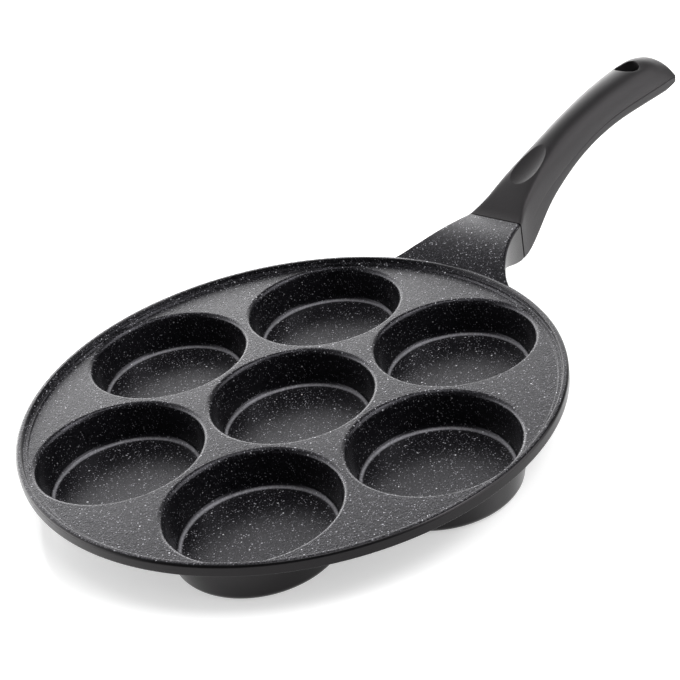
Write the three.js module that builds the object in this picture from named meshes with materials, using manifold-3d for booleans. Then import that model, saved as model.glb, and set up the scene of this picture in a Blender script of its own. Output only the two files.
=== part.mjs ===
// An egg pan: a die-cast aluminium pan with seven cups and a moulded handle screwed to its lug.
// Millimetres, +Z up. The origin is the middle of the centre cup's underside. The handle points along +X.

import * as THREE from 'three';
import { mergeVertices } from 'three/addons/utils/BufferGeometryUtils.js';
import Module from 'manifold-3d';

const wasm = await Module();
wasm.setup();

// Plate and rim
const PAN_RADIUS = 130;
const CUP_DEPTH = 18;
const CUP_FLOOR_THICKNESS = 4;
const PLATE_Z = CUP_FLOOR_THICKNESS + CUP_DEPTH;
const PLATE_THICKNESS = 3;
const PLATE_RADIUS = 124.4;
const PLATE_UNDERSIDE_RADIUS = 120;
const LIP_HEIGHT = 3.5;
const LIP_INNER_RADIUS = 128.3;
const LIP_ROUND = 1.2;
const RIM_DROP = 1.9;
const RIM_ROUND = 2;
const SLOPE_FOOT = { radius: 125.6, height: 1.1 };
const LEDGE = { radius: 124.9, height: 0.9 };

// Cups: one in the middle and six around it
const CUP_PITCH_RADIUS = 84;
const CUP_COUNT_AROUND = 6;
const CUP_FIRST_ANGLE = Math.PI / 6;
const CUP_MOUTH_RADIUS = 40;
const CUP_MOUTH_ROUND = 0.9;
const CUP_FLOOR_RADIUS = 33;
const CUP_FLOOR_ROUND = 3.4;
const CUP_OUTER_TOP_RADIUS = 41.4;
const CUP_OUTER_FOOT_RADIUS = 38.6;
const CUP_OUTER_ROUND = 4.5;

// Lug: flares out of the rim and ends square at the seam with the handle
const SEAM_X = 168.2;
const SEAM_GAP = 0.5;
const LUG_START_X = 124.5;
const LUG_HALF_WIDTH = { rim: 41, seam: 17 };
const LUG_FLARE = { rimAlong: 2.5, rimIn: 9.5, seamAlong: 22.2, seamOut: 5 };
const LUG_RISE = { rim: 1, seam: 12.3 };
const LUG_DROP = { rim: 2, seam: 8.3 };
const LUG_TOP_POWER = 2.7;
const LUG_UNDERSIDE_POWER = 1.2;
const LUG_EDGE_ROUND = 1.6;
const LUG_EDGE_SHARE = 0.4;
const LUG_ROOT = { x: 118, halfWidth: 44, rise: -0.5, drop: 2.5 };
const LUG_TRIM_RADIUS = 128.6;

// Tongue: the lug's hidden end inside the handle, tapped for the screw
const TONGUE_SLOPE = THREE.MathUtils.degToRad(20);
const TONGUE_SIZE = { length: 34, width: 17, thickness: 7 };
const TONGUE_SEAM_Z = 24.5;
const TONGUE_BEHIND_SCREW = 21;
const SOCKET_CLEARANCE = 0.4;

// Screw and washers, with heights along the screw's axis from the tongue's middle
const SCREW_FROM_SEAM = 15;
const SCREW_RADIUS = 2.1;
const SCREW_TIP = { height: 2.8, taper: 0.7, radius: 1.1 };
const SCREW_HEAD = { radius: 4.2, top: -9, height: 2.6, dome: 0.7 };
const CROSS_RECESS = { length: 4.4, width: 1, depth: 1.3 };
const TAPPED_HOLE_RADIUS = 2.45;
const CLEARANCE_HOLE_RADIUS = 2.8;
const COUNTERBORE = { radius: 5.3, roof: -6.2 };
const FLAT_WASHER = { inner: 2.6, outer: 4.9, top: -6.5, thickness: 0.8 };
const SPRING_WASHER = { inner: 2.6, outer: 4.1, top: -7.6, thickness: 1.1, split: 0.25 };

// Handle grip: oval sections hung on a spine, square at the seam and round further out
const GRIP_STATIONS = [
  { x: SEAM_X + SEAM_GAP, z: 24, halfWidth: 17, halfHeight: 10.3, squareness: 9 },
  { x: 182, z: 27.7, halfWidth: 15.2, halfHeight: 11.8, squareness: 5 },
  { x: 200, z: 36.4, halfWidth: 12.4, halfHeight: 12, squareness: 3 },
  { x: 225, z: 45.2, halfWidth: 10.8, halfHeight: 11.6, squareness: 2.5 },
  { x: 255, z: 52, halfWidth: 10.5, halfHeight: 11.2, squareness: 2.4 },
  { x: 290, z: 55, halfWidth: 12.4, halfHeight: 11.4, squareness: 2.4 },
  { x: 320, z: 55.6, halfWidth: 14.9, halfHeight: 11.2, squareness: 2.4 },
  { x: 336, z: 51, halfWidth: 15.4, halfHeight: 7.5, squareness: 2.7 },
];
const GRIP_UPRIGHT_LENGTH = 16;
const GRIP_TIP_ROUND = 2;
const THUMB_DIMPLE = { x: 203, halfLength: 22.5, halfWidth: 8.4, halfHeight: 4, lift: 2.2 };
const HANG_HOLE = { x: 313, halfLength: 7.5, halfWidth: 6, low: 30, high: 80 };

// Facets
const RIM_SIDES = 90;
const CUP_SIDES = 36;
const HOLE_SIDES = 24;
const ROUND_STEPS = 1;
const LUG_STEPS = 12;
const CORNER_STEPS = 3;
const GRIP_STEPS = 28;
const GRIP_SIDES = 32;

const castAluminium = new THREE.MeshStandardMaterial({ color: 0x2c2c2f, roughness: 0.5, metalness: 0.1 });
const phenolic = new THREE.MeshStandardMaterial({ color: 0x3a3939, roughness: 0.6, metalness: 0 });
const steel = new THREE.MeshStandardMaterial({ color: 0xb4b6b8, roughness: 0.35, metalness: 1 });

// A closed geometry as a solid that can be joined and cut.
function solid(geometry) {
  const bare = geometry.clone();
  bare.deleteAttribute('normal');
  bare.deleteAttribute('uv');
  const merged = mergeVertices(bare);
  const index = merged.index.array;
  const triangles = [];
  for (let i = 0; i < index.length; i += 3) {
    const [a, b, c] = index.slice(i, i + 3);
    if (a !== b && b !== c && c !== a) triangles.push(a, b, c);
  }
  const mesh = new wasm.Mesh({
    numProp: 3,
    vertProperties: new Float32Array(merged.attributes.position.array),
    triVerts: new Uint32Array(triangles),
  });
  return new wasm.Manifold(mesh);
}

function named(name, shape, material) {
  const { vertProperties, triVerts, numProp } = shape.getMesh();
  const geometry = new THREE.BufferGeometry();
  const positions = new THREE.InterleavedBuffer(vertProperties, numProp);
  geometry.setAttribute('position', new THREE.InterleavedBufferAttribute(positions, 3, 0));
  geometry.setIndex(new THREE.BufferAttribute(triVerts, 1));
  const flat = geometry.toNonIndexed();
  flat.computeVertexNormals();
  const mesh = new THREE.Mesh(flat, material);
  mesh.name = name;
  return mesh;
}

// A profile of radius and height, turned about Z.
function turned(path, sides) {
  return new THREE.LatheGeometry(path.getPoints(ROUND_STEPS), sides).rotateX(Math.PI / 2);
}

// A round bar along Z between two heights.
function bar(radius, low, high, sides) {
  const path = new THREE.Path();
  path.moveTo(0, low);
  path.lineTo(radius, low);
  path.lineTo(radius, high);
  path.lineTo(0, high);
  return turned(path, sides);
}

// A skin over rings of points that all run the same way round, with both ends closed.
function lofted(rings) {
  const sides = rings[0].length;
  const points = rings.flat();
  const index = [];
  for (let ring = 0; ring + 1 < rings.length; ring += 1) {
    for (let side = 0; side < sides; side += 1) {
      const next = (side + 1) % sides;
      const a = ring * sides + side;
      const b = ring * sides + next;
      index.push(a, b, b + sides, a, b + sides, a + sides);
    }
  }
  const last = (rings.length - 1) * sides;
  for (let side = 1; side + 1 < sides; side += 1) {
    index.push(0, side + 1, side, last, last + side, last + side + 1);
  }
  const geometry = new THREE.BufferGeometry().setFromPoints(points);
  geometry.setIndex(index);
  return geometry;
}

function panPlate() {
  const rimLow = PLATE_Z - RIM_DROP;
  const lipTop = PLATE_Z + LIP_HEIGHT;
  const path = new THREE.Path();
  path.moveTo(0, PLATE_Z - PLATE_THICKNESS);
  path.lineTo(PLATE_UNDERSIDE_RADIUS, PLATE_Z - PLATE_THICKNESS);
  path.lineTo(PAN_RADIUS - RIM_ROUND, rimLow);
  path.absarc(PAN_RADIUS - RIM_ROUND, rimLow + RIM_ROUND, RIM_ROUND, -Math.PI / 2, 0, false);
  path.absarc(PAN_RADIUS - LIP_ROUND, lipTop - LIP_ROUND, LIP_ROUND, 0, Math.PI / 2, false);
  path.lineTo(LIP_INNER_RADIUS, lipTop);
  path.lineTo(SLOPE_FOOT.radius, PLATE_Z + SLOPE_FOOT.height);
  path.lineTo(LEDGE.radius, PLATE_Z + LEDGE.height);
  path.lineTo(PLATE_RADIUS, PLATE_Z);
  path.lineTo(0, PLATE_Z);
  return solid(turned(path, RIM_SIDES));
}

function cupOutside() {
  const overlap = PLATE_THICKNESS / 2;
  const foot = CUP_OUTER_FOOT_RADIUS - CUP_OUTER_ROUND;
  const path = new THREE.Path();
  path.moveTo(0, 0);
  path.lineTo(foot, 0);
  path.absarc(foot, CUP_OUTER_ROUND, CUP_OUTER_ROUND, -Math.PI / 2, 0, false);
  path.lineTo(CUP_OUTER_TOP_RADIUS, PLATE_Z - PLATE_THICKNESS);
  path.lineTo(CUP_OUTER_TOP_RADIUS, PLATE_Z - overlap);
  path.lineTo(0, PLATE_Z - overlap);
  return solid(turned(path, CUP_SIDES));
}

function cupInside() {
  const above = PLATE_Z + LEDGE.height / 2;
  const floorRoundZ = CUP_FLOOR_THICKNESS + CUP_FLOOR_ROUND;
  const mouthRoundZ = PLATE_Z - CUP_MOUTH_ROUND;
  const path = new THREE.Path();
  path.moveTo(0, CUP_FLOOR_THICKNESS);
  path.lineTo(CUP_FLOOR_RADIUS, CUP_FLOOR_THICKNESS);
  path.absarc(CUP_FLOOR_RADIUS, floorRoundZ, CUP_FLOOR_ROUND, -Math.PI / 2, 0, false);
  path.absarc(CUP_MOUTH_RADIUS, mouthRoundZ, CUP_MOUTH_ROUND, Math.PI, Math.PI / 2, true);
  path.lineTo(CUP_MOUTH_RADIUS, above);
  path.lineTo(0, above);
  return solid(turned(path, CUP_SIDES));
}

function cupCentres() {
  const centres = [[0, 0]];
  for (let i = 0; i < CUP_COUNT_AROUND; i += 1) {
    const angle = CUP_FIRST_ANGLE + (i * 2 * Math.PI) / CUP_COUNT_AROUND;
    centres.push([CUP_PITCH_RADIUS * Math.cos(angle), CUP_PITCH_RADIUS * Math.sin(angle)]);
  }
  return centres;
}

// A rounded rectangle across the lug at one distance along X.
function lugRing(x, halfWidth, low, high) {
  const round = Math.min(LUG_EDGE_ROUND, LUG_EDGE_SHARE * (high - low));
  const outline = new THREE.Path();
  outline.absarc(halfWidth - round, low + round, round, -Math.PI / 2, 0, false);
  outline.absarc(halfWidth - round, high - round, round, 0, Math.PI / 2, false);
  outline.absarc(round - halfWidth, high - round, round, Math.PI / 2, Math.PI, false);
  outline.absarc(round - halfWidth, low + round, round, Math.PI, 1.5 * Math.PI, false);
  const corners = outline.curves.filter((curve) => curve.isEllipseCurve);
  const points = corners.flatMap((corner) => corner.getPoints(CORNER_STEPS));
  return points.map((point) => new THREE.Vector3(x, point.x, point.y));
}

function lug() {
  const plan = new THREE.CubicBezierCurve(
    new THREE.Vector2(LUG_START_X, LUG_HALF_WIDTH.rim),
    new THREE.Vector2(LUG_START_X + LUG_FLARE.rimAlong, LUG_HALF_WIDTH.rim - LUG_FLARE.rimIn),
    new THREE.Vector2(SEAM_X - LUG_FLARE.seamAlong, LUG_HALF_WIDTH.seam + LUG_FLARE.seamOut),
    new THREE.Vector2(SEAM_X, LUG_HALF_WIDTH.seam),
  );
  const rings = [lugRing(LUG_ROOT.x, LUG_ROOT.halfWidth, PLATE_Z - LUG_ROOT.drop, PLATE_Z + LUG_ROOT.rise)];
  for (const { x, y: halfWidth } of plan.getPoints(LUG_STEPS)) {
    const along = (x - LUG_START_X) / (SEAM_X - LUG_START_X);
    const rise = LUG_RISE.seam - (LUG_RISE.seam - LUG_RISE.rim) * (1 - along) ** LUG_TOP_POWER;
    const drop = LUG_DROP.rim + (LUG_DROP.seam - LUG_DROP.rim) * along ** LUG_UNDERSIDE_POWER;
    rings.push(lugRing(x, halfWidth, PLATE_Z - drop, PLATE_Z + rise));
  }
  const overPlate = solid(bar(LUG_TRIM_RADIUS, PLATE_Z + LUG_ROOT.rise, 2 * PLATE_Z, RIM_SIDES));
  return solid(lofted(rings)).subtract(overPlate);
}

// The screw's own frame: its origin is the tongue's middle, X runs along the tongue and Z along the screw.
const screwFrame = new THREE.Object3D();
screwFrame.position.set(
  SEAM_X + SCREW_FROM_SEAM * Math.cos(TONGUE_SLOPE),
  0,
  TONGUE_SEAM_Z + SCREW_FROM_SEAM * Math.sin(TONGUE_SLOPE),
);
screwFrame.rotation.y = -TONGUE_SLOPE;
screwFrame.updateMatrix();

function inScrewFrame(geometry) {
  return solid(geometry.applyMatrix4(screwFrame.matrix));
}

function tongueBox(clearance) {
  const { length, width, thickness } = TONGUE_SIZE;
  const box = new THREE.BoxGeometry(length + clearance, width + 2 * clearance, thickness + 2 * clearance);
  return inScrewFrame(box.translate((length + clearance) / 2 - TONGUE_BEHIND_SCREW, 0, 0));
}

function panBody() {
  let body = panPlate();
  const outside = cupOutside();
  const inside = cupInside();
  const centres = cupCentres();
  for (const [x, y] of centres) body = body.add(outside.translate([x, y, 0]));
  body = body.add(lug()).add(tongueBox(0));
  for (const [x, y] of centres) body = body.subtract(inside.translate([x, y, 0]));
  const reach = TONGUE_SIZE.thickness;
  return body.subtract(inScrewFrame(bar(TAPPED_HOLE_RADIUS, -reach, reach, HOLE_SIDES)));
}

function signedPower(value, power) {
  return Math.sign(value) * Math.abs(value) ** power;
}

// A rounded square across the grip: up is the section's own vertical in the XZ plane.
function gripRing(centre, up, halfWidth, halfHeight, squareness) {
  const ring = [];
  for (let side = 0; side < GRIP_SIDES; side += 1) {
    const angle = (side * 2 * Math.PI) / GRIP_SIDES;
    const across = halfWidth * signedPower(Math.cos(angle), 2 / squareness);
    const height = halfHeight * signedPower(Math.sin(angle), 2 / squareness);
    ring.push(new THREE.Vector3(centre.x + height * up.x, across, centre.y + height * up.y));
  }
  return ring;
}

const gripSpine = new THREE.SplineCurve(GRIP_STATIONS.map((s) => new THREE.Vector2(s.x, s.z)));
const gripSize = new THREE.SplineCurve(
  GRIP_STATIONS.map((s) => new THREE.Vector2(s.halfWidth, s.halfHeight)),
);
const gripCorner = new THREE.SplineCurve(GRIP_STATIONS.map((s) => new THREE.Vector2(s.squareness, 0)));

// The spine's point, the section's upward direction and its half sizes, at a share of the stations.
function gripSection(share) {
  const centre = gripSpine.getPoint(share);
  const tangent = gripSpine.getTangent(share);
  const upright = Math.max(0, 1 - (centre.x - GRIP_STATIONS[0].x) / GRIP_UPRIGHT_LENGTH);
  const up = new THREE.Vector2(-tangent.y, tangent.x).lerp(new THREE.Vector2(0, 1), upright).normalize();
  const size = gripSize.getPoint(share);
  const squareness = gripCorner.getPoint(share).x;
  return { centre, tangent, up, halfWidth: size.x, halfHeight: size.y, squareness };
}

function gripSolid() {
  const rings = [];
  for (let step = 0; step <= GRIP_STEPS; step += 1) {
    const { centre, up, halfWidth, halfHeight, squareness } = gripSection(step / GRIP_STEPS);
    rings.push(gripRing(centre, up, halfWidth, halfHeight, squareness));
  }
  const end = gripSection(1);
  for (const angle of [Math.PI / 4, Math.PI / 2]) {
    const centre = end.centre.clone().addScaledVector(end.tangent, GRIP_TIP_ROUND * Math.sin(angle));
    const inset = GRIP_TIP_ROUND * (1 - Math.cos(angle));
    rings.push(gripRing(centre, end.up, end.halfWidth - inset, end.halfHeight - inset, end.squareness));
  }
  return solid(lofted(rings));
}

// The share of the stations at which the spine passes a given distance along X.
function shareAt(x) {
  const next = GRIP_STATIONS.findIndex((station) => station.x > x);
  const before = GRIP_STATIONS[next - 1].x;
  return (next - 1 + (x - before) / (GRIP_STATIONS[next].x - before)) / (GRIP_STATIONS.length - 1);
}

function thumbDimple() {
  const { centre, up, halfHeight } = gripSection(shareAt(THUMB_DIMPLE.x));
  const middle = centre.clone().addScaledVector(up, halfHeight + THUMB_DIMPLE.lift);
  const ball = new THREE.SphereGeometry(1, HOLE_SIDES, HOLE_SIDES / 2);
  ball.scale(THUMB_DIMPLE.halfLength, THUMB_DIMPLE.halfWidth, THUMB_DIMPLE.halfHeight);
  ball.rotateY(Math.atan2(up.x, up.y));
  return solid(ball.translate(middle.x, 0, middle.y));
}

function hangHole() {
  const outline = new THREE.Shape();
  outline.absellipse(HANG_HOLE.x, 0, HANG_HOLE.halfLength, HANG_HOLE.halfWidth, 0, 2 * Math.PI, false, 0);
  const depth = HANG_HOLE.high - HANG_HOLE.low;
  const options = { depth, bevelEnabled: false, curveSegments: HOLE_SIDES / 2 };
  return solid(new THREE.ExtrudeGeometry(outline, options).translate(0, 0, HANG_HOLE.low));
}

function handleGrip() {
  const belowGrip = -2 * GRIP_STATIONS[0].halfHeight;
  return gripSolid()
    .subtract(tongueBox(SOCKET_CLEARANCE))
    .subtract(inScrewFrame(bar(CLEARANCE_HOLE_RADIUS, belowGrip, 0, HOLE_SIDES)))
    .subtract(inScrewFrame(bar(COUNTERBORE.radius, belowGrip, COUNTERBORE.roof, HOLE_SIDES)))
    .subtract(thumbDimple())
    .subtract(hangHole());
}

function handleScrew() {
  const { radius, top, height, dome } = SCREW_HEAD;
  const low = top - height;
  const path = new THREE.Path();
  path.moveTo(0, low);
  path.lineTo(radius - 2 * dome, low);
  path.lineTo(radius, low + dome);
  path.lineTo(radius, top);
  path.lineTo(SCREW_RADIUS, top);
  path.lineTo(SCREW_RADIUS, SCREW_TIP.height - SCREW_TIP.taper);
  path.lineTo(SCREW_TIP.radius, SCREW_TIP.height);
  path.lineTo(0, SCREW_TIP.height);
  const slot = new THREE.BoxGeometry(CROSS_RECESS.length, CROSS_RECESS.width, 2 * CROSS_RECESS.depth);
  const lengthwise = solid(slot.clone().translate(0, 0, low));
  const crosswise = solid(slot.clone().rotateZ(Math.PI / 2).translate(0, 0, low));
  return solid(turned(path, HOLE_SIDES)).subtract(lengthwise).subtract(crosswise);
}

function flatWasher() {
  const { inner, outer, top, thickness } = FLAT_WASHER;
  const disc = solid(bar(outer, top - thickness, top, HOLE_SIDES));
  return disc.subtract(solid(bar(inner, top - 2 * thickness, top + thickness, HOLE_SIDES)));
}

function springWasher() {
  const { inner, outer, top, thickness, split } = SPRING_WASHER;
  const outline = new THREE.Shape();
  outline.absarc(0, 0, outer, split / 2, 2 * Math.PI - split / 2, false);
  outline.absarc(0, 0, inner, 2 * Math.PI - split / 2, split / 2, true);
  const options = { depth: thickness, bevelEnabled: false, curveSegments: HOLE_SIDES / 2 };
  return solid(new THREE.ExtrudeGeometry(outline, options).translate(0, 0, top - thickness));
}

const fastening = new THREE.Group();
fastening.position.copy(screwFrame.position);
fastening.rotation.copy(screwFrame.rotation);
fastening.add(named('handle_screw', handleScrew(), steel));
fastening.add(named('flat_washer', flatWasher(), steel));
fastening.add(named('spring_washer', springWasher(), steel));

const eggPan = new THREE.Group();
eggPan.add(named('pan_body', panBody(), castAluminium));
eggPan.add(named('handle_grip', handleGrip(), phenolic));
eggPan.add(fastening);

export default eggPan;
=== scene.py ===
# An egg pan: a die-cast aluminium pan with seven cups, coated, and a moulded handle screwed to its lug.
# Metres, +Z up. The origin is the middle of the centre cup's underside. The handle points along +X.

import math

import bmesh
import bpy
from mathutils import Matrix, Vector


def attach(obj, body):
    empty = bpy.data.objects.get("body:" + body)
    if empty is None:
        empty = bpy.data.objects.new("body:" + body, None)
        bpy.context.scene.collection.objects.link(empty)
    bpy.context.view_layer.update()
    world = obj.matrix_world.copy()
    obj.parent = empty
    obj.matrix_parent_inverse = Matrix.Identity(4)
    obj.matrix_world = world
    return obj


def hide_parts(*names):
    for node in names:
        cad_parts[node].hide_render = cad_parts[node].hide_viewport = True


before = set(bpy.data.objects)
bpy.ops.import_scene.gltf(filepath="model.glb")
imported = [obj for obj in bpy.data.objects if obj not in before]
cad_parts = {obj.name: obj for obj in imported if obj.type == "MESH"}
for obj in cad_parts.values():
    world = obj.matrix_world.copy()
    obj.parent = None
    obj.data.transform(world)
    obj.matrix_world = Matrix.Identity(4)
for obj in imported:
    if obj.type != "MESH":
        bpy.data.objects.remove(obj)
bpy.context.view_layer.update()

MM = 0.001
UP = Vector((0, 0, 1))

# The sizes of the pan and the grip are in millimetres. A profile is a list of (radius, height, rounding)
# corners, from the axis that it is turned about, out along the underside and back over the top.

# Plate and rim
PLATE_Z = 22
PLATE_UNDERSIDE_Z = 19
PLATE_RADIUS = 124.6
PAN_RADIUS = 130
RIM_LOW_Z = 20.1
LIP_TOP_Z = 25.5
LIP_INNER_RADIUS = 127.2
LEDGE_Z = 23
RIM_PROFILE = [
    (0, PLATE_UNDERSIDE_Z, 0),
    (120, PLATE_UNDERSIDE_Z, 3),
    (128, RIM_LOW_Z, 0),
    (PAN_RADIUS, RIM_LOW_Z, 0.4),
    (PAN_RADIUS, LIP_TOP_Z, 1.4),
    (LIP_INNER_RADIUS, LIP_TOP_Z, 0.6),
    (126.7, LEDGE_Z, 0.3),
    (125, LEDGE_Z, 0.3),
    (PLATE_RADIUS, PLATE_Z, 0.25),
    (0, PLATE_Z, 0),
]
RIM_SIDES = 240
# The coating starts at the plate's top, and a face of the lip's crown has to look this far up to be coated
COATED_FROM_Z = PLATE_Z - 0.1
LIP_COATED_NORMAL = 0.96

# Cups: one in the middle and six around it
CUP_PITCH_RADIUS = 84
CUP_FIRST_ANGLE = math.radians(30)
CUP_COUNT_AROUND = 6
CUP_OUTER_RADIUS = 41.4
CUP_OUTER_TOP_Z = 20.5
CUP_OUTSIDE_PROFILE = [
    (0, 0, 0),
    (37.73, 0, 4.5),
    (CUP_OUTER_RADIUS, PLATE_UNDERSIDE_Z, 0),
    (CUP_OUTER_RADIUS, CUP_OUTER_TOP_Z, 0),
    (0, CUP_OUTER_TOP_Z, 0),
]
CUP_FLOOR_Z = 4
# A hair above the plate, so that the cutter's flange over the mouth stays clear of it
CUP_MOUTH_Z = PLATE_Z + 0.01
CUP_CUTTER_RADIUS = 41.3
CUP_CUTTER_TOP_Z = 24.6
CUP_INSIDE_PROFILE = [
    (0, CUP_FLOOR_Z, 0),
    (35.73, CUP_FLOOR_Z, 3.2),
    (39.28, CUP_MOUTH_Z, 2.4),
    (CUP_CUTTER_RADIUS, CUP_MOUTH_Z, 0),
    (CUP_CUTTER_RADIUS, CUP_CUTTER_TOP_Z, 0),
    (0, CUP_CUTTER_TOP_Z, 0),
]
CUP_SIDES = 144
CUP_ROUND_STEPS = 6

# Painted shade in a cup, by height: full grey and flecks on the floor, a share of them on the wall and full
# at the mouth. A painted highlight makes the bend at the wall's foot paler.
WALL_SHADE_FROM_Z = 4.1
WALL_SHADE_FULL_FROM_Z = 5.6
WALL_SHADE_FULL_TO_Z = 19
SHADED_WALL_SHARE = 0.32
# The painted highlight on the bend at each cup's foot: where it starts, where it is palest and where it ends
BEND_FROM_Z = 4.05
BEND_PALEST_Z = 4.35
BEND_TO_Z = 5.3

# Lug, from the rim to the seam with the handle. In plan each side is a curve with four control points.
SEAM_X = 168.2
LUG_START_X = 124.5
LUG_PLAN_X = (LUG_START_X, 127, 146, SEAM_X)
LUG_PLAN_HALF_WIDTH = (41, 31.5, 22, 17)
LUG_STEPS = 24
LUG_ROOT = {"x": 118, "half_width": 44, "low": 19.5, "high": 21.4}
LUG_SEAM_TOP_Z = 34.3
LUG_RISE = 11.3
LUG_RISE_POWER = 2.7
LUG_PLATE_THICKNESS = 3
LUG_DEEPENS_FROM_X = 136
LUG_SEAM_DEPTH = 20.6
LUG_DEPTH_POWER = 1.6
# The rounding of the lug's top edges, and the largest share of its depth that it takes
LUG_TOP_ROUND = 1.6
LUG_TOP_ROUND_SHARE = 0.4
LUG_LOWER_ROUND = 0.5
LUG_ROUND_STEPS = 5
LUG_TRIM_RADIUS = 128.6
LUG_TRIM_LOW_Z = 21.6
LUG_TRIM_TOP_Z = 44
LUG_TRIM_PROFILE = [
    (0, LUG_TRIM_LOW_Z, 0),
    (LUG_TRIM_RADIUS, LUG_TRIM_LOW_Z, 0),
    (LUG_TRIM_RADIUS, LUG_TRIM_TOP_Z, 0),
    (0, LUG_TRIM_TOP_Z, 0),
]
# How far up a face of the lug has to look to be coated
LUG_COATED_NORMAL = 0.55

# Tongue and screw: the screw's own frame has its origin in the middle of the tongue's thickness, X along
# the tongue and Z along the screw
TONGUE_SLOPE = math.radians(20)
TONGUE_SEAM_Z = 24.5
SCREW_FROM_SEAM = 15
TONGUE_LENGTH = 34
TONGUE_WIDTH = 17
TONGUE_THICKNESS = 7
TONGUE_BEHIND_SCREW = 21
TONGUE_EDGE = 0.6
SOCKET_CLEARANCE = 0.4
# Bores: radius, and from where to where along the screw
THREAD_BORE = (2.45, -7, 7)
SHANK_BORE = (2.8, -20, 0)
HEAD_BORE = (5.3, -20, -6.2)
BORE_SIDES = 48

# Points closer than this are merged, after a spin and after the cuts
SPIN_MERGE = 0.001
CUT_MERGE = 0.0005
# Edges sharper than this stay sharp in the shading
PAN_SHARP_DEGREES = 35
GRIP_SHARP_DEGREES = 20


# Colours and node trees

def linear(code):
    """A colour written as an sRGB hex code, as the linear RGBA that sockets take."""
    parts = [int(code[i:i + 2], 16) / 255 for i in (1, 3, 5)]
    return [c / 12.92 if c <= 0.04045 else ((c + 0.055) / 1.055) ** 2.4 for c in parts] + [1]


def per_metre(size_mm):
    """A texture's scale for a pattern whose cells are that many millimetres wide."""
    return 1000 / size_mm


def add_node(tree, kind, settings, links=()):
    """Adds a node. Settings are the values of its sockets or its own, links are (socket, output) pairs.

    Sockets that share a name go by number: a Mix node's colours are its inputs 6 and 7 and its output 2.
    """
    made = tree.nodes.new(kind)
    for key, value in settings.items():
        if isinstance(key, int) or key in made.inputs:
            made.inputs[key].default_value = value
        else:
            setattr(made, key, value)
    for key, output in links:
        tree.links.new(output, made.inputs[key])
    return made


def new_material(name):
    """An empty node material and its tree."""
    material = bpy.data.materials.new(name)
    material.use_nodes = True
    material.node_tree.nodes.clear()
    return material, material.node_tree


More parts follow.
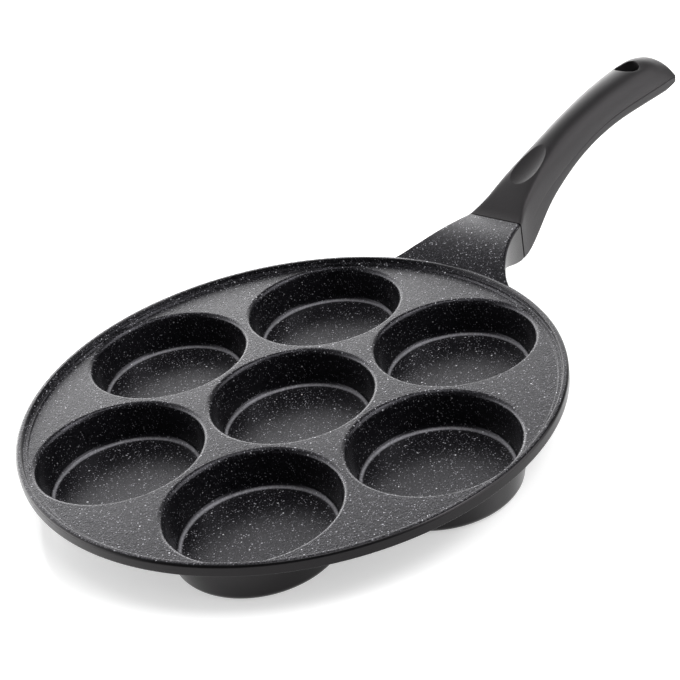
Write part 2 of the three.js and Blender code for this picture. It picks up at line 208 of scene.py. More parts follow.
def speckled_nonstick():
    # Stone-look non-stick: black fluoropolymer sprayed with pale flecks under a clear top coat. The eye
    # sees near-black with a grey sheen, sandy close up, and pale ragged flecks of several sizes.
    material, tree = new_material("speckled_nonstick_coating")
    place = add_node(tree, "ShaderNodeTexCoord", {}).outputs["Object"]
    # The sand in the spray, drawn at twice its size so that it shows
    sand = add_node(tree, "ShaderNodeTexNoise", {"Scale": per_metre(0.8), "Detail": 2, "Roughness": 0.6},
                    [("Vector", place)])
    # Painted shade: a cup's steep wall gets less of the grey and fewer flecks than its floor and the plate
    height = add_node(tree, "ShaderNodeSeparateXYZ", {}, [(0, place)]).outputs["Z"]
    above_floor = add_node(tree, "ShaderNodeMapRange",
                           {"From Min": WALL_SHADE_FROM_Z * MM, "From Max": WALL_SHADE_FULL_FROM_Z * MM,
                            "To Min": 1, "To Max": SHADED_WALL_SHARE},
                           [("Value", height)])
    below_mouth = add_node(tree, "ShaderNodeMapRange",
                           {"From Min": WALL_SHADE_FULL_TO_Z * MM, "From Max": PLATE_Z * MM,
                            "To Min": SHADED_WALL_SHARE, "To Max": 1},
                           [("Value", height)])
    painted_shade_cover = add_node(tree, "ShaderNodeMath", {"operation": "MAXIMUM"},
                     [(0, above_floor.outputs[0]), (1, below_mouth.outputs[0])]).outputs[0]
    grey = add_node(tree, "ShaderNodeMapRange", {"From Min": 0.42, "From Max": 0.74},
                    [("Value", sand.outputs["Fac"]), ("To Max", painted_shade_cover)])
    colour = add_node(tree, "ShaderNodeMix",
                      {"data_type": "RGBA", 6: linear("#020203"), 7: linear("#2c2b2f")},
                      [(0, grey.outputs[0])]).outputs[2]
    # A painted highlight: the bend at each cup's foot is paler, broken up by the sand
    bend_low = add_node(tree, "ShaderNodeMapRange",
                        {"interpolation_type": "SMOOTHSTEP",
                         "From Min": BEND_FROM_Z * MM, "From Max": BEND_PALEST_Z * MM},
                        [("Value", height)])
    bend_high = add_node(tree, "ShaderNodeMapRange",
                         {"interpolation_type": "SMOOTHSTEP",
                          "From Min": BEND_PALEST_Z * MM, "From Max": BEND_TO_Z * MM,
                          "To Min": 1, "To Max": 0},
                         [("Value", height)])
    bend = add_node(tree, "ShaderNodeMath", {"operation": "MULTIPLY"},
                    [(0, bend_low.outputs[0]), (1, bend_high.outputs[0])])
    bend_highlight = add_node(tree, "ShaderNodeMath", {"operation": "MULTIPLY"},
                          [(0, bend.outputs[0]), (1, sand.outputs["Fac"])])
    colour = add_node(tree, "ShaderNodeMix", {"data_type": "RGBA", 7: linear("#9c9ba0")},
                      [(0, bend_highlight.outputs[0]), (6, colour)]).outputs[2]
    # Every fleck's edge is drawn about by the sand
    frayed = add_node(tree, "ShaderNodeVectorMath", {"operation": "MULTIPLY_ADD", 1: (0.6 * MM,) * 3},
                      [(0, sand.outputs["Color"]), (2, place)]).outputs[0]
    # Flecks: cell width in mm, share of cells with a fleck, largest radius in cells, colour
    for cell, share, radius, code in ((0.8, 0.65, 0.42, "#6c6b70"), (1.3, 0.5, 0.32, "#9a9a9f"),
                                      (2.2, 0.3, 0.21, "#d8d8dc")):
        cells = add_node(tree, "ShaderNodeTexVoronoi", {"Scale": per_metre(cell)}, [("Vector", frayed)])
        chance = add_node(tree, "ShaderNodeSeparateColor", {}, [(0, cells.outputs["Color"])])
        size = add_node(tree, "ShaderNodeMapRange",
                        {"From Min": 1 - share, "From Max": 1, "To Min": 0, "To Max": radius},
                        [("Value", chance.outputs[0])])
        inside = add_node(tree, "ShaderNodeMath", {"operation": "SUBTRACT"},
                          [(0, size.outputs[0]), (1, cells.outputs["Distance"])])
        mask = add_node(tree, "ShaderNodeMapRange", {"From Min": 0, "From Max": 0.08},
                        [("Value", inside.outputs[0]), ("To Max", painted_shade_cover)])
        colour = add_node(tree, "ShaderNodeMix", {"data_type": "RGBA", 7: linear(code)},
                          [(0, mask.outputs[0]), (6, colour)]).outputs[2]
    bump = add_node(tree, "ShaderNodeBump", {"Distance": 0.17 * MM},
                    [("Height", sand.outputs["Fac"]), ("Strength", painted_shade_cover)])
    sheen = add_node(tree, "ShaderNodeMapRange", {"To Min": 0.18, "To Max": 0.26},
                     [("Value", sand.outputs["Fac"])])
    shader = add_node(tree, "ShaderNodeBsdfPrincipled", {"IOR": 1.35, "Specular Tint": linear("#f6f4ff")},
                      [("Base Color", colour), ("Roughness", sheen.outputs[0]), ("Normal", bump.outputs[0])])
    add_node(tree, "ShaderNodeOutputMaterial", {}, [("Surface", shader.outputs[0])])
    return material


def black_lacquer():
    # Heat-resistant black lacquer on the pan's outside: plain, smooth, half glossy, no flecks.
    material, tree = new_material("black_heat_lacquer")
    place = add_node(tree, "ShaderNodeTexCoord", {}).outputs["Object"]
    cloud = add_node(tree, "ShaderNodeTexNoise", {"Scale": per_metre(6), "Detail": 5}, [("Vector", place)])
    colour = add_node(tree, "ShaderNodeMix",
                      {"data_type": "RGBA", 6: linear("#0b0b0c"), 7: linear("#111112")},
                      [(0, cloud.outputs["Fac"])])
    rough = add_node(tree, "ShaderNodeMapRange", {"To Min": 0.18, "To Max": 0.28},
                     [("Value", cloud.outputs["Fac"])])
    peel = add_node(tree, "ShaderNodeTexNoise", {"Scale": per_metre(0.8), "Detail": 2}, [("Vector", place)])
    bump = add_node(tree, "ShaderNodeBump", {"Strength": 0.1, "Distance": 0.1 * MM},
                    [("Height", peel.outputs["Fac"])])
    shader = add_node(tree, "ShaderNodeBsdfPrincipled", {"IOR": 1.32, "Specular Tint": linear("#fff9fd")},
                      [("Base Color", colour.outputs[2]), ("Roughness", rough.outputs[0]),
                       ("Normal", bump.outputs[0])])
    add_node(tree, "ShaderNodeOutputMaterial", {}, [("Surface", shader.outputs[0])])
    return material


def moulded_phenolic():
    # Phenolic moulded in a spark-eroded tool: dark warm grey, matt, with a fine even grain.
    material, tree = new_material("moulded_phenolic")
    place = add_node(tree, "ShaderNodeTexCoord", {}).outputs["Object"]
    cloud = add_node(tree, "ShaderNodeTexNoise", {"Scale": per_metre(9), "Detail": 5}, [("Vector", place)])
    colour = add_node(tree, "ShaderNodeMix",
                      {"data_type": "RGBA", 6: linear("#151415"), 7: linear("#1c1b1c")},
                      [(0, cloud.outputs["Fac"])])
    # The grain is drawn at twice its size so that it shows
    grain = add_node(tree, "ShaderNodeTexNoise", {"Scale": per_metre(0.7), "Detail": 3}, [("Vector", place)])
    rough = add_node(tree, "ShaderNodeMapRange", {"To Min": 0.38, "To Max": 0.5},
                     [("Value", grain.outputs["Fac"])])
    bump = add_node(tree, "ShaderNodeBump", {"Strength": 0.5, "Distance": 0.12 * MM},
                    [("Height", grain.outputs["Fac"])])
    shader = add_node(tree, "ShaderNodeBsdfPrincipled", {"IOR": 1.38, "Specular Tint": linear("#fff9fd")},
                      [("Base Color", colour.outputs[2]), ("Roughness", rough.outputs[0]),
                       ("Normal", bump.outputs[0])])
    add_node(tree, "ShaderNodeOutputMaterial", {}, [("Surface", shader.outputs[0])])
    return material


def zinc_plated_steel():
    # Bright zinc plating on steel: cool grey metal, a little cloudy from the bath.
    material, tree = new_material("zinc_plated_steel")
    place = add_node(tree, "ShaderNodeTexCoord", {}).outputs["Object"]
    cloud = add_node(tree, "ShaderNodeTexNoise", {"Scale": per_metre(1.2), "Detail": 4}, [("Vector", place)])
    colour = add_node(tree, "ShaderNodeMix",
                      {"data_type": "RGBA", 6: linear("#b3b6ba"), 7: linear("#cdd0d3")},
                      [(0, cloud.outputs["Fac"])])
    rough = add_node(tree, "ShaderNodeMapRange", {"To Min": 0.22, "To Max": 0.4},
                     [("Value", cloud.outputs["Fac"])])
    shader = add_node(tree, "ShaderNodeBsdfPrincipled", {"Metallic": 1},
                      [("Base Color", colour.outputs[2]), ("Roughness", rough.outputs[0])])
    add_node(tree, "ShaderNodeOutputMaterial", {}, [("Surface", shader.outputs[0])])
    return material


coating = speckled_nonstick()
lacquer = black_lacquer()
phenolic = moulded_phenolic()
zinc = zinc_plated_steel()


# Modelling helpers

def deselect():
    """Leaves nothing selected, so that an operator acts only on what is picked next."""
    bpy.ops.object.select_all(action="DESELECT")


def pick(piece):
    """Makes one piece the only selected and active object."""
    deselect()
    piece.select_set(True)
    bpy.context.view_layer.objects.active = piece


def eased(corners, steps=4):
    """An outline of (across, up, rounding) corners as points, with each corner eased by its rounding."""
    outline = []
    for i, (across, up, rounding) in enumerate(corners):
        here = Vector((across, up))
        if not rounding:
            outline.append(here)
            continue
        back = (Vector(corners[i - 1][:2]) - here).normalized()
        ahead = (Vector(corners[(i + 1) % len(corners)][:2]) - here).normalized()
        half = back.angle(ahead) / 2
        reach = rounding / math.tan(half)
        middle = here + (back + ahead).normalized() * (rounding / math.sin(half))
        first = (here + back * reach - middle).normalized()
        last = (here + ahead * reach - middle).normalized()
        outline += [middle + first.slerp(last, step / steps) * rounding for step in range(steps + 1)]
    return outline


def turned(name, profile, sides, steps=4):
    """A profile drawn by extruding one vertex, then spun about Z into a closed shell."""
    points = [Vector((p.x, 0, p.y)) * MM for p in eased(profile, steps)]
    deselect()
    bpy.ops.mesh.primitive_plane_add(size=MM, location=(0, 0, 0))
    piece = bpy.context.object
    piece.name = name
    bpy.ops.object.mode_set(mode="EDIT")
    bpy.ops.mesh.select_mode(type="VERT")
    bpy.ops.mesh.select_all(action="SELECT")
    bpy.ops.mesh.merge(type="CENTER")
    bpy.ops.transform.translate(value=points[0])
    for here, there in zip(points, points[1:]):
        bpy.ops.mesh.extrude_region_move(TRANSFORM_OT_translate={"value": there - here})
    bpy.ops.mesh.select_all(action="SELECT")
    bpy.ops.mesh.spin(steps=sides, angle=2 * math.pi, center=(0, 0, 0), axis=UP)
    bpy.ops.mesh.select_all(action="SELECT")
    bpy.ops.mesh.remove_doubles(threshold=SPIN_MERGE * MM)
    bpy.ops.mesh.normals_make_consistent(inside=False)
    bpy.ops.object.mode_set(mode="OBJECT")
    return piece


def lofted(name, rings):
    """A many-sided face extruded along X from ring to ring. Rings run from +Y towards +Z, in millimetres."""
    count = len(rings[0])
    deselect()
    bpy.ops.mesh.primitive_circle_add(vertices=count, radius=MM, fill_type="NGON",
                                      rotation=(math.pi / 2, 0, math.pi / 2))
    piece = bpy.context.object
    piece.name = name
    bpy.ops.object.transform_apply(location=False, rotation=True, scale=False)
    bpy.ops.object.mode_set(mode="EDIT")
    bpy.ops.mesh.select_mode(type="VERT")
    bpy.ops.mesh.select_all(action="SELECT")
    step = Vector((MM, 0, 0))
    for index, ring in enumerate(rings):
        points = [point * MM for point in ring]
        if index:
            bpy.ops.mesh.extrude_region_move(TRANSFORM_OT_translate={"value": step})
        shape = bmesh.from_edit_mesh(piece.data)
        picked = [v for v in shape.verts if v.select]
        if index:
            order = [min(range(count), key=lambda k: (v.co - step - last[k]).length) for v in picked]
        else:
            angles = [math.atan2(v.co.z, v.co.y) % (2 * math.pi) for v in picked]
            ranked = sorted(range(count), key=angles.__getitem__)
            order = [ranked.index(k) for k in range(count)]
        for v, k in zip(picked, order):
            v.co = points[k]
        last = points
        bmesh.update_edit_mesh(piece.data)
    bpy.ops.mesh.select_all(action="SELECT")
    bpy.ops.mesh.normals_make_consistent(inside=False)
    bpy.ops.object.mode_set(mode="OBJECT")
    return piece


def moved_copy(piece, offset):
    """A copy of a piece with its own mesh, moved in its mesh."""
    copy = piece.copy()
    copy.data = piece.data.copy()
    bpy.context.collection.objects.link(copy)
    copy.data.transform(Matrix.Translation(offset))
    return copy


def joined(pieces):
    """Several pieces as one object."""
    pick(pieces[0])
    for piece in pieces:
        piece.select_set(True)
    bpy.ops.object.join()
    return pieces[0]


def apply(piece, kind, **settings):
    """Adds a modifier and applies it."""
    pick(piece)
    modifier = piece.modifiers.new(kind.lower(), kind)
    for key, value in settings.items():
        setattr(modifier, key, value)
    bpy.ops.object.modifier_apply(modifier=modifier.name)


def combine(piece, tool, operation):
    """Joins a tool to a piece, or cuts it away, and uses the tool up."""
    apply(piece, "BOOLEAN", object=tool, operation=operation, solver="EXACT")
    bpy.data.objects.remove(tool, do_unlink=True)


def finish_mesh(piece, sharp_degrees):
    """Merges what the cuts left double, and shades smooth with flat faces kept flat."""
    pick(piece)
    bpy.ops.object.mode_set(mode="EDIT")
    bpy.ops.mesh.select_all(action="SELECT")
    bpy.ops.mesh.remove_doubles(threshold=CUT_MERGE * MM)
    bpy.ops.object.mode_set(mode="OBJECT")
    bpy.ops.object.shade_smooth_by_angle(angle=math.radians(sharp_degrees))
    apply(piece, "WEIGHTED_NORMAL", keep_sharp=True)


def two_finishes(piece, is_coated):
    """Gives a pan tool the coating and the lacquer, by what is_coated says of each face in millimetres."""
    piece.data.materials.clear()
    piece.data.materials.append(coating)
    piece.data.materials.append(lacquer)
    for face in piece.data.polygons:
        face.material_index = 0 if is_coated(face.center / MM, face.normal) else 1


# The pan

def cup_centres():
    """The middles of the cups, in metres."""
    centres = [Vector((0, 0, 0))]
    for i in range(CUP_COUNT_AROUND):
        angle = CUP_FIRST_ANGLE + i * 2 * math.pi / CUP_COUNT_AROUND
        centres.append(Vector((math.cos(angle), math.sin(angle), 0)) * CUP_PITCH_RADIUS * MM)
    return centres


def seven(cup):
    """A cup tool copied to the seven places and joined."""
    tools = [moved_copy(cup, centre) for centre in cup_centres()]
    bpy.data.objects.remove(cup, do_unlink=True)
    return joined(tools)


def rim_plate():
    """The plate and the rim, coated on top as far as the lip's crown."""
    plate = turned("pan", RIM_PROFILE, RIM_SIDES)
    two_finishes(plate, lambda centre, normal: centre.z > COATED_FROM_Z and
                 (normal.z > LIP_COATED_NORMAL or centre.xy.length < LIP_INNER_RADIUS))
    return plate


def cup_outside():
    """The seven cups as solid bodies under the plate."""
    cup = turned("cup_outside", CUP_OUTSIDE_PROFILE, CUP_SIDES, CUP_ROUND_STEPS)
    two_finishes(cup, lambda centre, normal: False)
    return seven(cup)


def cup_inside():
    """The tool that hollows the seven cups."""
    cup = turned("cup_inside", CUP_INSIDE_PROFILE, CUP_SIDES, CUP_ROUND_STEPS)
    two_finishes(cup, lambda centre, normal: True)
    return seven(cup)


def bezier(a, b, c, d, t):
    """A place along a curve with four control values."""
    s = 1 - t
    return a * s ** 3 + 3 * b * s * s * t + 3 * c * s * t * t + d * t ** 3


def lug_ring(x, half_width, low, high):
    """A rounded rectangle across the lug."""
    rounding = min(LUG_TOP_ROUND, LUG_TOP_ROUND_SHARE * (high - low))
    corners = [(half_width, low, LUG_LOWER_ROUND), (half_width, high, rounding),
               (-half_width, high, rounding), (-half_width, low, LUG_LOWER_ROUND)]
    return [Vector((x, p.x, p.y)) for p in eased(corners, LUG_ROUND_STEPS)]


def lug():
    """Flared in plan and rising to the seam: a thin plate at the rim, trimmed to the lip, that deepens."""
    rings = [lug_ring(**LUG_ROOT)]
    for i in range(LUG_STEPS + 1):
        t = i / LUG_STEPS
        x = bezier(*LUG_PLAN_X, t)
        half_width = bezier(*LUG_PLAN_HALF_WIDTH, t)
        along = (x - LUG_START_X) / (SEAM_X - LUG_START_X)
        high = LUG_SEAM_TOP_Z - LUG_RISE * (1 - along) ** LUG_RISE_POWER
        deepening = max(0, (x - LUG_DEEPENS_FROM_X) / (SEAM_X - LUG_DEEPENS_FROM_X))
        share = 1 - (1 - deepening) ** LUG_DEPTH_POWER
        depth = LUG_PLATE_THICKNESS + (LUG_SEAM_DEPTH - LUG_PLATE_THICKNESS) * share
        rings.append(lug_ring(x, half_width, high - depth, high))
    piece = lofted("lug", rings)
    two_finishes(piece, lambda centre, normal: normal.z > LUG_COATED_NORMAL)
    trim = turned("lug_trim", LUG_TRIM_PROFILE, RIM_SIDES)
    two_finishes(trim, lambda centre, normal: True)
    combine(piece, trim, "DIFFERENCE")
    return piece


def screw_frame():
    """The frame of the screw and the tongue."""
    middle = Vector((SEAM_X + SCREW_FROM_SEAM * math.cos(TONGUE_SLOPE), 0,
                     TONGUE_SEAM_Z + SCREW_FROM_SEAM * math.sin(TONGUE_SLOPE)))
    return Matrix.Translation(middle * MM) @ Matrix.Rotation(-TONGUE_SLOPE, 4, "Y")


def tongue(clearance):
    """The lug's tapped tongue, or with a clearance the tool that cuts its socket."""
    length = TONGUE_LENGTH + clearance
    width = TONGUE_WIDTH + 2 * clearance
    thickness = TONGUE_THICKNESS + 2 * clearance
    deselect()
    bpy.ops.mesh.primitive_cube_add(size=MM)
    piece = bpy.context.object
    piece.name = "tongue"
    piece.data.transform(Matrix.Diagonal((length, width, thickness, 1)))
    piece.data.transform(Matrix.Translation(Vector((length / 2 - TONGUE_BEHIND_SCREW, 0, 0)) * MM))
    bpy.ops.object.mode_set(mode="EDIT")
    bpy.ops.mesh.bevel(offset=TONGUE_EDGE * MM, segments=2, affect="EDGES")
    bpy.ops.object.mode_set(mode="OBJECT")
    piece.data.transform(screw_frame())
    return piece


def bore(radius, low, high):
    """A round tool along the screw's axis."""
    profile = [(0, low, 0), (radius, low, 0), (radius, high, 0), (0, high, 0)]
    tool = turned("bore", profile, BORE_SIDES)
    tool.data.transform(screw_frame())
    return tool


pan = rim_plate()
combine(pan, cup_outside(), "UNION")
combine(pan, lug(), "UNION")
lug_tongue = tongue(0)
two_finishes(lug_tongue, lambda centre, normal: False)
combine(pan, lug_tongue, "UNION")
combine(pan, cup_inside(), "DIFFERENCE")
thread_hole = bore(*THREAD_BORE)
two_finishes(thread_hole, lambda centre, normal: False)
combine(pan, thread_hole, "DIFFERENCE")
finish_mesh(pan, PAN_SHARP_DEGREES)
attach(pan, "root")
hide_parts("pan_body")


# The grip

# Stations along the grip: x, z, half width and half height in millimetres, and the section, where 0 is
# square, 1 is oval and 2 is a lens
GRIP_STATIONS = [
    (169.1, 24, 17, 10.3, 0),
    (170.3, 24.1, 16.7, 10.5, 0),
    (174, 24.5, 15.7, 11.3, 0),
    (179, 26.2, 14.4, 11.7, 0.02),
    (186, 29.7, 13, 11.7, 0.08),
    (194, 34.2, 12.3, 11.3, 0.2),
    (201, 37.6, 11.9, 11, 0.36),
    (210, 41.4, 11.7, 10.8, 0.62),
    (227, 46.9, 11.5, 10.5, 0.95),
    (242, 50.6, 11.5, 10.2, 1),
    (257, 53.2, 11.7, 10.1, 1),
    (272, 54.8, 12.2, 10.3, 1),
    (284, 55.5, 12.8, 10.6, 1),
    (297, 55.7, 13.6, 10.9, 1),
    (321, 55.4, 15, 11.2, 1.2),
    (328, 54.7, 15.4, 10.3, 1.9),
    (332.5, 54.1, 15.6, 8.8, 2),
    (335, 53.6, 15.7, 7.7, 2),
    (336.6, 53.3, 15.7, 6.9, 2),
    (337.2, 53.2, 15.4, 6.2, 2),
    (337.3, 53.2, 14.7, 5.5, 2),
]
# The length over which the sections go from upright at the seam to leaning with the spine
GRIP_UPRIGHT_LENGTH = 16
# The square section's roundings, and its points beside a corner as multiples of the rounding
GRIP_CORNER = 1.5
GRIP_LOWER_CORNER = 0.5
CORNER_NEAR = 0.6
CORNER_FAR = 2.4
# The right half of a section, in half widths and half heights: up from the parting line on its side to
# the crown, and from the middle of the underside up to that line
OVAL_ABOVE = [(1.02, -0.27), (0.98, 0.08), (0.86, 0.47), (0.65, 0.81), (0.35, 1), (0, 1.05)]
OVAL_BELOW = [(0, -0.94), (0.4, -0.93), (0.77, -0.9), (0.95, -0.83), (1.02, -0.65),
              (1.02, -0.36), (0.98, -0.315)]
LENS_ABOVE = [(1.01, -0.17), (0.9, 0.05), (0.79, 0.3), (0.62, 0.6), (0.34, 0.92), (0, 1.05)]
LENS_BELOW = [(0, -0.94), (0.4, -0.94), (0.78, -0.92), (0.95, -0.86), (1.01, -0.68),
              (1.01, -0.28), (0.975, -0.225)]
# The points of a ring on the fine groove of the parting line and the edge below it, right and left
SIDE_BAND = (21, 22, 23, 0, 10, 11, 12, 13)
SIDE_BAND_FROM_X = 225
SIDE_BAND_CREASE = 0.9
SEAM_CREASE = 1
SMOOTHING_LEVELS = 3
# Two points of the cage this close are the same
SAME_POINT = 0.01
THUMB_DIMPLE = {"station": 7, "along": -3.4, "lift": 2.3,
                "half_length": 22.5, "half_width": 10.8, "half_height": 4}
# The hole's oval, how far from its middle the faces lie that it takes, and how its edge is made: the oval's
# widening and the inset at the mouth, the same at the wall's top, and the depth of the wall's top
HANG_HOLE = {"x": 309, "half_length": 8.3, "half_width": 7, "reach_x": 9, "reach_y": 9.3,
             "mouth_margin": 1, "mouth_inset": 1.5, "wall_margin": 0.15, "wall_inset": 0.5, "wall_depth": 1.3}


def mirrored(above, below):
    """A whole section, from its right side over the top and round, out of the right half's points."""
    left = [(-across, up) for across, up in reversed(above[:-1])]
    under = [(-across, up) for across, up in reversed(below[1:])]
    return above + left + under + below


def square_section(half_width, half_height):
    """A square section with its roundings in millimetres. The points for the groove lie flat on its side."""
    across, up = GRIP_CORNER / half_width, GRIP_CORNER / half_height
    low_across, low_up = GRIP_LOWER_CORNER / half_width, GRIP_LOWER_CORNER / half_height
    return mirrored(
        [(1, 0), (1, 1 - CORNER_FAR * up), (1, 1 - CORNER_NEAR * up),
         (1 - CORNER_NEAR * across, 1), (1 - CORNER_FAR * across, 1), (0, 1)],
        [(0, -1), (1 - CORNER_FAR * low_across, -1), (1 - CORNER_NEAR * low_across, -1),
         (1, CORNER_NEAR * low_up - 1), (1, CORNER_FAR * low_up - 1), (1, -0.08), (1, -0.04)])


def grip_lean(index):
    """How far a station's section leans with the spine: not at all at the seam, where it meets the lug."""
    before = GRIP_STATIONS[max(index - 1, 0)]
    after = GRIP_STATIONS[min(index + 1, len(GRIP_STATIONS) - 1)]
    slope = math.atan2(after[1] - before[1], after[0] - before[0])
    return slope * min(1, (GRIP_STATIONS[index][0] - GRIP_STATIONS[0][0]) / GRIP_UPRIGHT_LENGTH)


def grip_ring(index):
    """One station's section as points, between square and oval or between oval and lens."""
    x, z, half_width, half_height, section = GRIP_STATIONS[index]
    lean = grip_lean(index)
    square = square_section(half_width, half_height)
    oval = mirrored(OVAL_ABOVE, OVAL_BELOW)
    lens = mirrored(LENS_ABOVE, LENS_BELOW)
    before, after, share = (square, oval, section) if section <= 1 else (oval, lens, section - 1)
    ring = []
    for one, other in zip(before, after):
        across = (one[0] * (1 - share) + other[0] * share) * half_width
        up = (one[1] * (1 - share) + other[1] * share) * half_height
        ring.append(Vector((x - up * math.sin(lean), across, z + up * math.cos(lean))))
    return ring


def select_where(piece, kind, wanted):
    """In edit mode, selects only the faces or edges that wanted says."""
    bpy.ops.mesh.select_mode(type=kind)
    bpy.ops.mesh.select_all(action="DESELECT")
    shape = bmesh.from_edit_mesh(piece.data)
    for part in shape.faces if kind == "FACE" else shape.edges:
        if wanted(part):
            part.select_set(True)
    bmesh.update_edit_mesh(piece.data)


def on_hang_hole(face, side):
    """Whether a face of the grip's cage lies over the hang hole, or under it."""
    middle = face.calc_center_median() / MM
    return (abs(middle.x - HANG_HOLE["x"]) < HANG_HOLE["reach_x"] and abs(middle.y) < HANG_HOLE["reach_y"]
            and face.normal.z * side > 0.5)


def set_on_oval(piece, margin):
    """Moves the corners round the selected faces onto the hang hole's oval, widened by a margin."""
    shape = bmesh.from_edit_mesh(piece.data)
    border = [edge for edge in shape.edges if sum(face.select for face in edge.link_faces) == 1]
    rim = {v for edge in border for v in edge.verts}
    for end in (1, -1):
        row = sorted((v for v in rim if (v.co.x / MM - HANG_HOLE["x"]) * end > 0), key=lambda v: v.co.y)
        for step, v in enumerate(row):
            angle = math.pi * ((step + 0.5) / len(row) - 0.5)
            v.co.x = (HANG_HOLE["x"] + end * (HANG_HOLE["half_length"] + margin) * math.cos(angle)) * MM
            v.co.y = (HANG_HOLE["half_width"] + margin) * math.sin(angle) * MM
    bmesh.update_edit_mesh(piece.data)


def open_hang_hole(piece):
    """Insets the cage's faces over and under the hole, sinks them, takes them out and bridges through."""
    for side in (1, -1):
        sink = Vector((0, 0, -HANG_HOLE["wall_depth"] * side)) * MM
        select_where(piece, "FACE", lambda face: on_hang_hole(face, side))
        bpy.ops.mesh.inset(thickness=HANG_HOLE["mouth_inset"] * MM)
        set_on_oval(piece, HANG_HOLE["mouth_margin"])
        bpy.ops.mesh.inset(thickness=HANG_HOLE["wall_inset"] * MM)
        set_on_oval(piece, HANG_HOLE["wall_margin"])
        bpy.ops.mesh.extrude_region_move(TRANSFORM_OT_translate={"value": sink})
        bpy.ops.mesh.delete(type="FACE")
    select_where(piece, "EDGE", lambda edge: edge.is_boundary)
    bpy.ops.mesh.bridge_edge_loops()


def thumb_dimple():
    """A squashed ball that dips into the grip's crown."""
    x, z, _, half_height, _ = GRIP_STATIONS[THUMB_DIMPLE["station"]]
    size = (THUMB_DIMPLE["half_length"], THUMB_DIMPLE["half_width"], THUMB_DIMPLE["half_height"], 1)
    above_spine = Vector((THUMB_DIMPLE["along"], 0, half_height + THUMB_DIMPLE["lift"]))
    lean = Matrix.Rotation(-grip_lean(THUMB_DIMPLE["station"]), 4, "Y")
    deselect()
    bpy.ops.mesh.primitive_uv_sphere_add(segments=96, ring_count=48, radius=MM)
    ball = bpy.context.object
    ball.data.transform(Matrix.Diagonal(size))
    ball.data.transform(Matrix.Translation(above_spine * MM))
    ball.data.transform(Matrix.Translation(Vector((x, 0, z)) * MM) @ lean)
    return ball


def on_seam(edge):
    """Whether an edge of the cage lies at the grip's end by the lug."""
    return all(v.co.x < (GRIP_STATIONS[0][0] + SAME_POINT) * MM for v in edge.verts)


def on_side_band(edge, rings):
    """Whether an edge of the cage runs along the parting line's groove or the edge below it."""
    middle = (edge.verts[0].co + edge.verts[1].co) / (2 * MM)
    return middle.x > SIDE_BAND_FROM_X and any(
        (middle - (one[k] + other[k]) / 2).length < SAME_POINT
        for one, other in zip(rings, rings[1:]) for k in SIDE_BAND)


grip_rings = [grip_ring(index) for index in range(len(GRIP_STATIONS))]
grip = lofted("grip", grip_rings)
pick(grip)
bpy.ops.object.mode_set(mode="EDIT")
open_hang_hole(grip)
select_where(grip, "EDGE", on_seam)
bpy.ops.transform.edge_crease(value=SEAM_CREASE)
select_where(grip, "EDGE", lambda edge: on_side_band(edge, grip_rings))
bpy.ops.transform.edge_crease(value=SIDE_BAND_CREASE)
bpy.ops.object.mode_set(mode="OBJECT")
apply(grip, "SUBSURF", levels=SMOOTHING_LEVELS, render_levels=SMOOTHING_LEVELS)
combine(grip, thumb_dimple(), "DIFFERENCE")
grip.data.materials.clear()
grip.data.materials.append(phenolic)
combine(grip, tongue(SOCKET_CLEARANCE), "DIFFERENCE")
combine(grip, bore(*SHANK_BORE), "DIFFERENCE")
combine(grip, bore(*HEAD_BORE), "DIFFERENCE")
finish_mesh(grip, GRIP_SHARP_DEGREES)
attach(grip, "root")
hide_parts("handle_grip")

for name in ("handle_screw", "flat_washer", "spring_washer"):
    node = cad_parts[name]
    node.data.materials.clear()
    node.data.materials.append(zinc)


# Floor, light and camera, in metres

FLOOR_SIZE = 8
# The direction of the studio's bright wall, level, behind the pan and 35 degrees to the left of the view
BRIGHT_WALL = (0.19, 0.98, 0)
# The direction of the lighter wall on the right of the view
RIGHT_WALL = (0.45, -0.75, 0.48)
# The photo's camera: focal length in picture widths, angles in radians, where it aims beside the origin
# and how far the picture is shifted
CAMERA = {"focal": 2.2479, "distance": 0.729, "azimuth": -0.80525, "elevation": 0.52502, "roll": -0.17002,
          "aim_right": -0.03549, "aim_up": -0.04411, "shift": -0.05}
SENSOR_MM = 36


def white_board():
    # White lacquered board: plain, with a soft reflection. It also glows a little, to the eye and in
    # reflections, so that it is pure white where no shadow falls.
    material, tree = new_material("white_lacquered_board")
    path = add_node(tree, "ShaderNodeLightPath", {})
    seen = add_node(tree, "ShaderNodeMath", {"operation": "ADD"},
                    [(0, path.outputs["Is Camera Ray"]), (1, path.outputs["Is Glossy Ray"])])
    seen = add_node(tree, "ShaderNodeMath", {"operation": "ADD"},
                    [(0, seen.outputs[0]), (1, path.outputs["Is Transmission Ray"])])
    place = add_node(tree, "ShaderNodeTexCoord", {}).outputs["Object"]
    distance = add_node(tree, "ShaderNodeVectorMath", {"operation": "LENGTH"}, [(0, place)])
    # The glow is weaker near the pan: painted shade round it, which deepens its shadow on the floor
    share = add_node(tree, "ShaderNodeMapRange",
                     {"interpolation_type": "SMOOTHSTEP", "From Min": 0.1, "From Max": 0.35,
                      "To Min": 0.48, "To Max": 0.6},
                     [("Value", distance.outputs["Value"])])
    share = add_node(tree, "ShaderNodeMath", {"operation": "MULTIPLY", "use_clamp": True},
                     [(0, seen.outputs[0]), (1, share.outputs[0])])
    board = add_node(tree, "ShaderNodeBsdfPrincipled",
                     {"Base Color": linear("#e2e2e2"), "Roughness": 0.12, "IOR": 1.45})
    glow = add_node(tree, "ShaderNodeEmission", {}, [("Strength", share.outputs[0])])
    shader = add_node(tree, "ShaderNodeAddShader", {}, [(0, board.outputs[0]), (1, glow.outputs[0])])
    add_node(tree, "ShaderNodeOutputMaterial", {}, [("Surface", shader.outputs[0])])
    return material


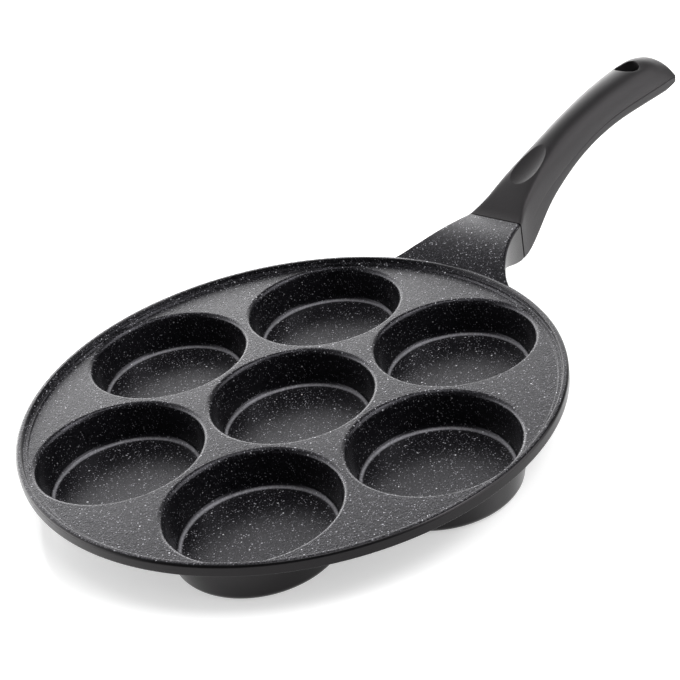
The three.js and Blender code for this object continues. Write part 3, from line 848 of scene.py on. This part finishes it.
def softbox(name, location, aim, width, height, watts):
    """A soft studio lamp that faces a point."""
    light = bpy.data.lights.new(name, "AREA")
    light.shape = "RECTANGLE"
    light.size = width
    light.size_y = height
    light.energy = watts
    lamp = bpy.data.objects.new(name, light)
    bpy.context.collection.objects.link(lamp)
    lamp.location = location
    lamp.rotation_mode = "QUATERNION"
    lamp.rotation_quaternion = (Vector(aim) - Vector(location)).to_track_quat("-Z", "Y")
    lamp.visible_camera = False


deselect()
bpy.ops.mesh.primitive_plane_add(size=FLOOR_SIZE)
floor = bpy.context.object
floor.name = "floor"
floor.data.materials.append(white_board())

# The studio: white walls, brightest behind the pan on the left, under a dark ceiling. The camera sees
# plain white.
world = bpy.data.worlds.new("studio")
bpy.context.scene.world = world
world.use_nodes = True
studio = world.node_tree
studio.nodes.clear()
path = add_node(studio, "ShaderNodeLightPath", {})
ray = add_node(studio, "ShaderNodeTexCoord", {}).outputs["Generated"]
height = add_node(studio, "ShaderNodeSeparateXYZ", {}, [(0, ray)]).outputs["Z"]
ceiling = add_node(studio, "ShaderNodeMapRange",
                   {"interpolation_type": "SMOOTHSTEP", "From Min": 0.45, "From Max": 0.7,
                    "To Min": 1, "To Max": 0.28},
                   [("Value", height)])
low_glow = add_node(studio, "ShaderNodeMapRange",
                    {"interpolation_type": "SMOOTHSTEP", "From Min": 0.15, "From Max": 0.45,
                     "To Min": 1.8, "To Max": 1},
                    [("Value", height)])
towards_back = add_node(studio, "ShaderNodeVectorMath", {"operation": "DOT_PRODUCT", 1: BRIGHT_WALL},
                        [(0, ray)])
back_wall = add_node(studio, "ShaderNodeMapRange",
                     {"interpolation_type": "SMOOTHSTEP", "From Min": 0.05, "From Max": 0.97,
                      "To Min": 0, "To Max": 3.5},
                     [("Value", towards_back.outputs["Value"])])
back_wall = add_node(studio, "ShaderNodeMath", {"operation": "MULTIPLY_ADD", 2: 0.1},
                     [(0, back_wall.outputs[0]), (1, low_glow.outputs[0])])
towards_right = add_node(studio, "ShaderNodeVectorMath", {"operation": "DOT_PRODUCT", 1: RIGHT_WALL},
                         [(0, ray)])
right_wall = add_node(studio, "ShaderNodeMapRange",
                      {"interpolation_type": "SMOOTHSTEP", "From Min": 0.75, "From Max": 0.97,
                       "To Min": 0, "To Max": 3.4},
                      [("Value", towards_right.outputs["Value"])])
walls = add_node(studio, "ShaderNodeMath", {"operation": "ADD"},
                 [(0, back_wall.outputs[0]), (1, right_wall.outputs[0])])
lit = add_node(studio, "ShaderNodeMath", {"operation": "MULTIPLY"},
               [(0, ceiling.outputs[0]), (1, walls.outputs[0])])
level = add_node(studio, "ShaderNodeMix", {"data_type": "FLOAT", 3: 1},
                 [(0, path.outputs["Is Camera Ray"]), (2, lit.outputs[0])])
sky = add_node(studio, "ShaderNodeBackground", {"Color": linear("#ffffff")}, [("Strength", level.outputs[0])])
add_node(studio, "ShaderNodeOutputWorld", {}, [("Surface", sky.outputs[0])])

softbox("right_softbox", location=(0.4, -0.75, 1.2), aim=(0.05, 0, 0), width=0.7, height=0.6, watts=10)
softbox("top_softbox", location=(-0.05, -0.1, 1.3), aim=(0, 0, 0), width=0.6, height=0.6, watts=4.5)

back = Vector((math.sin(CAMERA["azimuth"]) * math.cos(CAMERA["elevation"]),
               -math.cos(CAMERA["azimuth"]) * math.cos(CAMERA["elevation"]), math.sin(CAMERA["elevation"])))
level_right = UP.cross(back).normalized()
level_up = back.cross(level_right)
cos_roll, sin_roll = math.cos(CAMERA["roll"]), math.sin(CAMERA["roll"])
right = level_right * cos_roll + level_up * sin_roll
up = level_up * cos_roll - level_right * sin_roll
lens = bpy.data.cameras.new("camera")
lens.sensor_width = SENSOR_MM
lens.lens = CAMERA["focal"] * SENSOR_MM
lens.shift_x = CAMERA["shift"]
lens.clip_start = 0.01
camera = bpy.data.objects.new("camera", lens)
bpy.context.collection.objects.link(camera)
turn = Matrix((right, up, back)).transposed()
place = turn @ Vector((-CAMERA["aim_right"], -CAMERA["aim_up"], CAMERA["distance"]))
camera.matrix_world = Matrix.Translation(place) @ turn.to_4x4()
bpy.context.scene.camera = camera
bpy.context.scene.view_settings.view_transform = "Standard"
